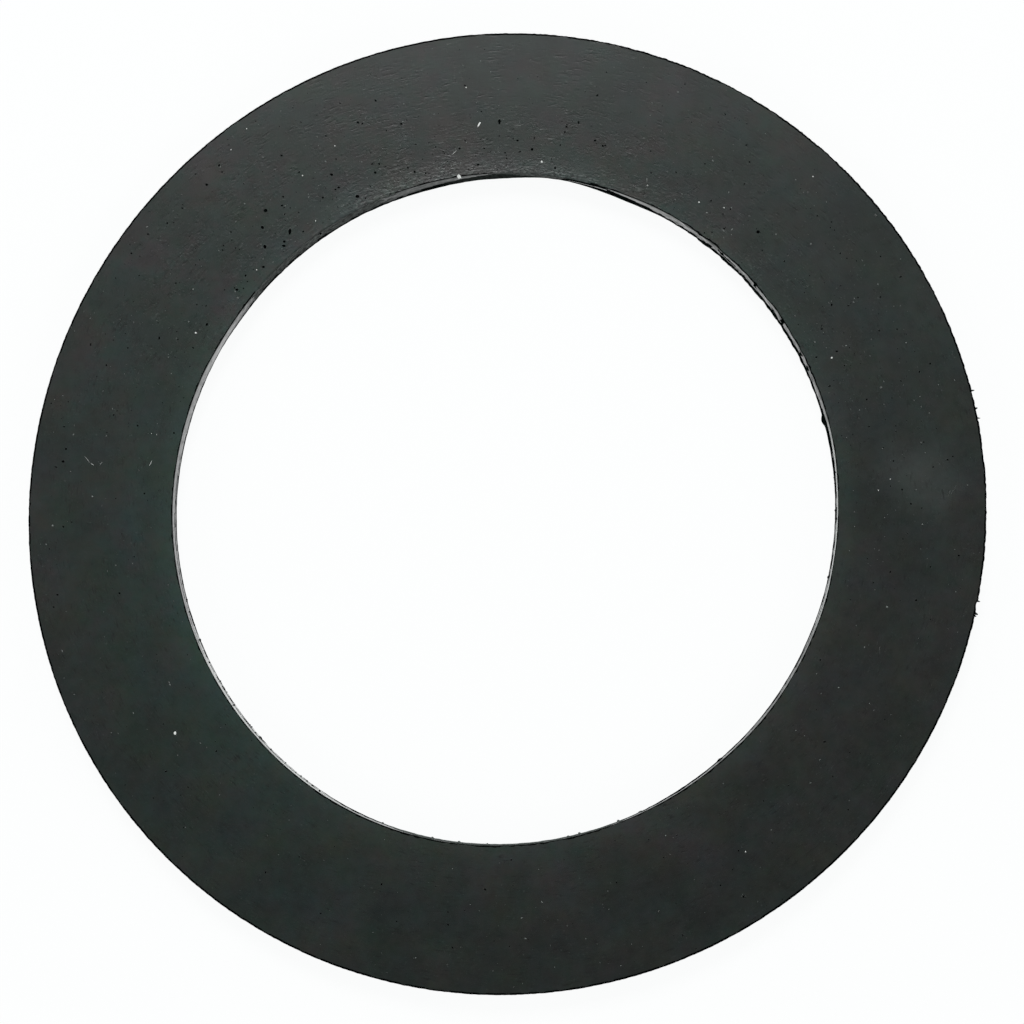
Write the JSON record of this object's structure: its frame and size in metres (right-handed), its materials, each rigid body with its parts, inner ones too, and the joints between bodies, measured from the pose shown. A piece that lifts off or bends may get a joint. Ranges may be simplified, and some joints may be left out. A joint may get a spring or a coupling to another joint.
{
  "type": "inlet fitting gasket",
  "caption": "Flat round rubber gasket ring that slips over an inlet fitting's body and seals its flange against a wall, with a plain bore and plain rim.",
  "frame": {"origin": "on the bore's axis, in the plane of the underside", "axes": "+Z along the bore's axis, out of the upper face; +X and +Y are the picture's right and top"},
  "size_m": [0.0888, 0.0888, 0.0024],
  "materials": {
    "black_rubber": "matt, knife-cut"
  },
  "bodies": {
    "root": {"gasket_ring": "black_rubber"}
  },
  "joints": []
}
